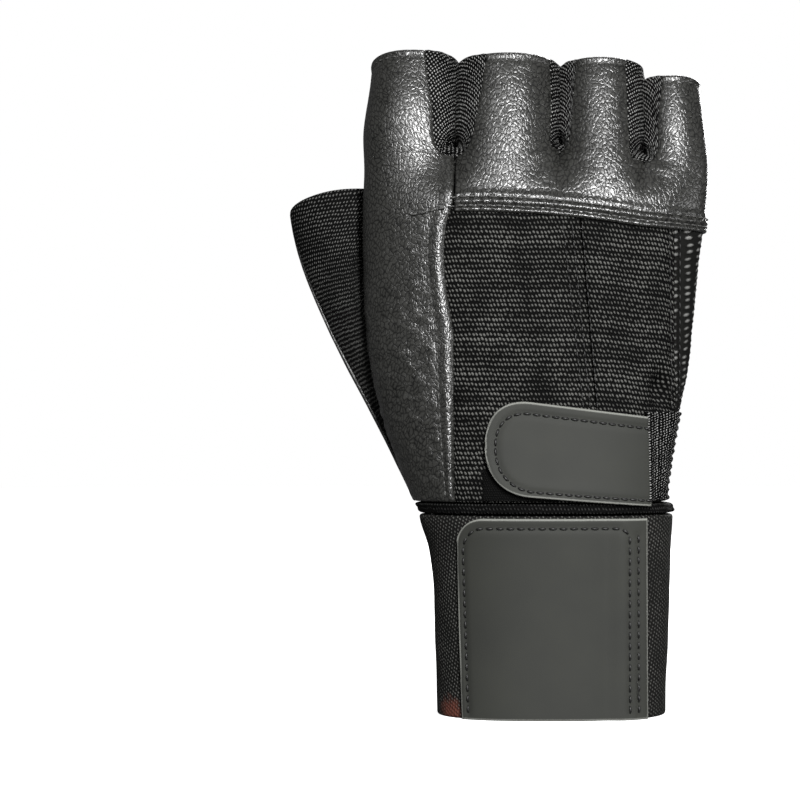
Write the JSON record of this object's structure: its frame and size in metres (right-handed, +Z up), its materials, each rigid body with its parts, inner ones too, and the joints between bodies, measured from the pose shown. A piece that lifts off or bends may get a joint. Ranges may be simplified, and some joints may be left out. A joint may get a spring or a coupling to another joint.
{
  "type": "weightlifting glove",
  "caption": "Right-hand fingerless weightlifting glove of black leather and ribbed knit, with a quilted palm and an elastic wrist wrap held by a grey end tab, in its worn form.",
  "frame": {"origin": "middle of the wrist opening, at the bottom edge of the wrist wrap", "axes": "+Z up towards the fingertips, -Y out of the back of the hand, +Y out of the palm, -X the thumb side"},
  "size_m": [0.1237, 0.0554, 0.1911],
  "materials": {
    "black_leather": "grained, semi-gloss",
    "black_knit": "ribbed knit, matte",
    "black_elastic": "diagonal twill elastic, matte",
    "grey_tab": "smooth matte",
    "loop_fabric": "brushed loop, matte"
  },
  "bodies": {
    "root": {"index_side_leather": "black_leather", "knuckle_leather": "black_leather", "fourchette_index_middle": "black_knit", "fourchette_middle_ring": "black_knit", "fourchette_ring_little": "black_knit", "back_knit_inner": "black_knit", "back_knit_outer": "black_knit", "back_knit_edge": "black_knit", "closure_tab": "grey_tab", "closure_loop_patch": "loop_fabric", "closure_root_knit": "black_knit", "finger_palm_leather": "black_leather", "palm_panel": "black_leather", "palm_pad": "black_leather", "heel_leather": "black_leather", "thumb_palm_leather": "black_leather", "thumb_back_knit": "black_knit", "thumb_gore": "black_leather", "wrist_binding": "black_knit", "wrap_band": "black_elastic", "wrap_overlap": "black_elastic", "wrap_tab": "grey_tab"}
  },
  "joints": []
}
